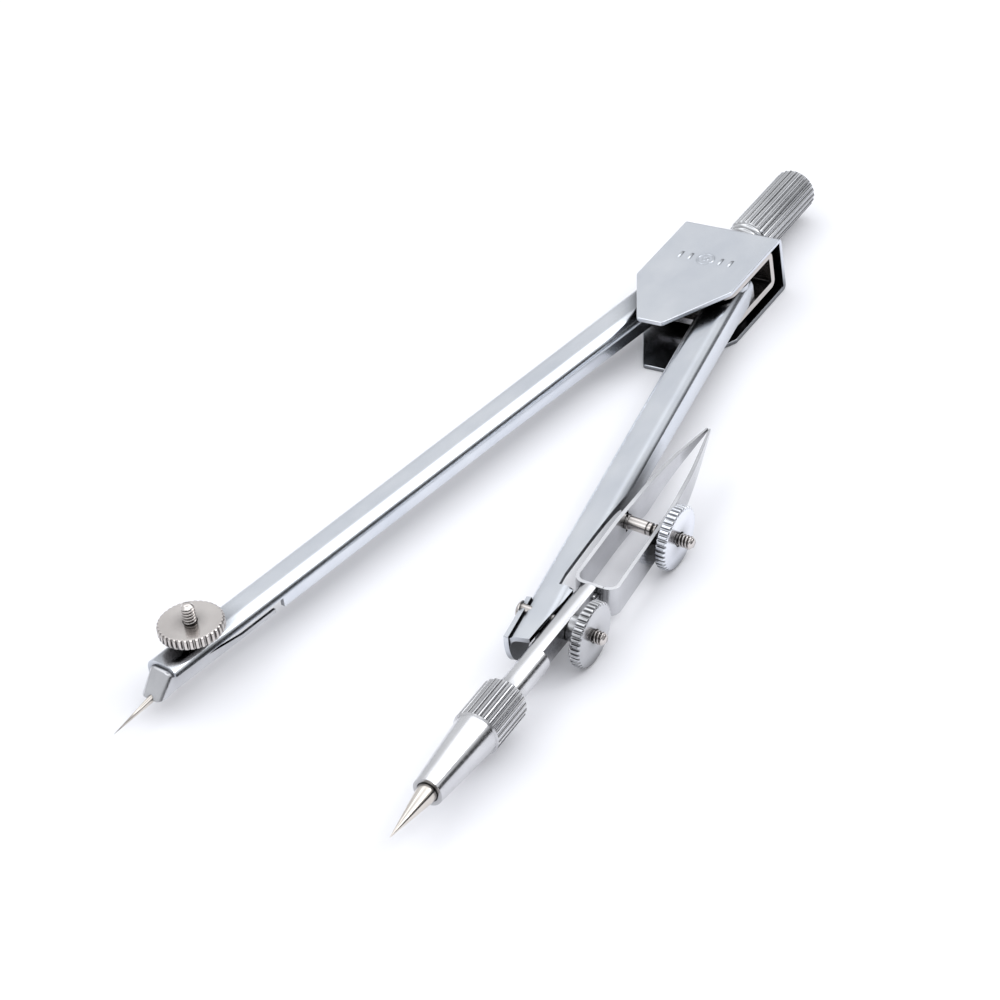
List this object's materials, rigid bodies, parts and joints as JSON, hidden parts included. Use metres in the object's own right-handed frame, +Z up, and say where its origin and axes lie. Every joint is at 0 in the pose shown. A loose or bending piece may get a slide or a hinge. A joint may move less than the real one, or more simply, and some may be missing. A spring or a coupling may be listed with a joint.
{
  "type": "drafting compass",
  "caption": "Drafting compass with geared channel legs, a fluted handle, a needle clamp and a swinging double-ended attachment: ruling pen and steel point.",
  "frame": {"origin": "midway between the two leg pivots, on the flat underside of the head", "axes": "+Y along the handle, away from the legs; +Z up, square to the head's plates; +X towards the pen leg"},
  "size_m": [0.0578, 0.1607, 0.013],
  "materials": {
    "plated_sheet": "bright plated sheet steel with fine scratches",
    "nickel": "bright warm nickel plate",
    "grip_steel": "plated, dulled by handling",
    "turned_steel": "polished turned steel",
    "blade_steel": "polished sheet steel",
    "tool_steel": "ground steel"
  },
  "bodies": {
    "head": {"head_cover": "plated_sheet", "hinge_bracket": "nickel", "handle_grip": "grip_steel", "handle_stud": "turned_steel", "stud_washer": "nickel", "pivot_rivets": "nickel", "pivot_bushes": "nickel", "friction_washers": "nickel"},
    "needle_arm": {"needle_leg": "plated_sheet", "needle_clamp": "nickel", "needle_clamp_screw": "nickel"},
    "needle_nut": {"needle_thumb_nut": "nickel"},
    "needle_rod": {"steel_needle": "tool_steel"},
    "pen_arm": {"pen_leg": "plated_sheet", "clamp_screw": "nickel"},
    "clamp_nut": {"clamp_thumb_nut": "nickel"},
    "attachment": {"attachment_shank": "turned_steel", "pen_inner_blade": "blade_steel", "pen_adjust_screw": "nickel", "chuck_collet": "turned_steel"},
    "pen_blade": {"pen_outer_blade": "blade_steel"},
    "pen_nut": {"pen_thumb_nut": "nickel"},
    "chuck": {"chuck_sleeve": "turned_steel"},
    "point": {"steel_point": "tool_steel"}
  },
  "joints": [
    {"name": "pen_leg_hinge", "type": "hinge", "parent": "head", "child": "pen_arm", "pos_m": [0.0048, 0, 0.0071], "axis": [0, 0, 1], "range_deg": [-9.8, 50]},
    {"name": "needle_leg_hinge", "type": "hinge", "parent": "head", "child": "needle_arm", "pos_m": [-0.0048, 0, 0.0071], "axis": [0, 0, -1], "range_deg": [-9.8, 50]},
    {"name": "needle_nut_spin", "type": "hinge", "parent": "needle_arm", "child": "needle_nut", "pos_m": [-0.02312, -0.10552, 0.0085], "axis": [0, 0, 1], "continuous": true},
    {"name": "needle_slide", "type": "slide", "parent": "needle_arm", "child": "needle_rod", "axis": [-0.1695, -0.9764, -0.134], "range_m": [-0.001, 0.004]},
    {"name": "clamp_nut_spin", "type": "hinge", "parent": "pen_arm", "child": "clamp_nut", "pos_m": [0.02743, -0.0823, 0.00476], "axis": [0.9908, 0.0191, -0.134], "continuous": true},
    {"name": "attachment_swing", "type": "hinge", "parent": "pen_arm", "child": "attachment", "pos_m": [0.02282, -0.08239, 0.00538], "axis": [0.9908, 0.0191, -0.134], "range_deg": [-180, 180]},
    {"name": "pen_nut_spin", "type": "hinge", "parent": "pen_blade", "child": "pen_nut", "pos_m": [0.02766, -0.05851, 0.00473], "axis": [0.9908, 0.0191, -0.134], "range_deg": [0, 360]},
    {"name": "pen_blade_flex", "type": "hinge", "parent": "attachment", "child": "pen_blade", "pos_m": [0.02449, -0.07478, 0.00516], "axis": [-0.134, 0.0002, -0.991], "range_deg": [0, 1.4]},
    {"name": "chuck_spin", "type": "hinge", "parent": "attachment", "child": "chuck", "pos_m": [0.02313, -0.09899, 0.00533], "axis": [-0.0188, 0.9998, 0.0028], "continuous": true},
    {"name": "point_slide", "type": "slide", "parent": "attachment", "child": "point", "axis": [0.0188, -0.9998, -0.0028], "range_m": [0, 0.006]}
  ],
  "couplings": [
    {"joint": "needle_leg_hinge", "follows": "pen_leg_hinge", "ratio": 1},
    {"joint": "pen_blade_flex", "follows": "pen_nut_spin", "ratio": 0.0038889}
  ]
}
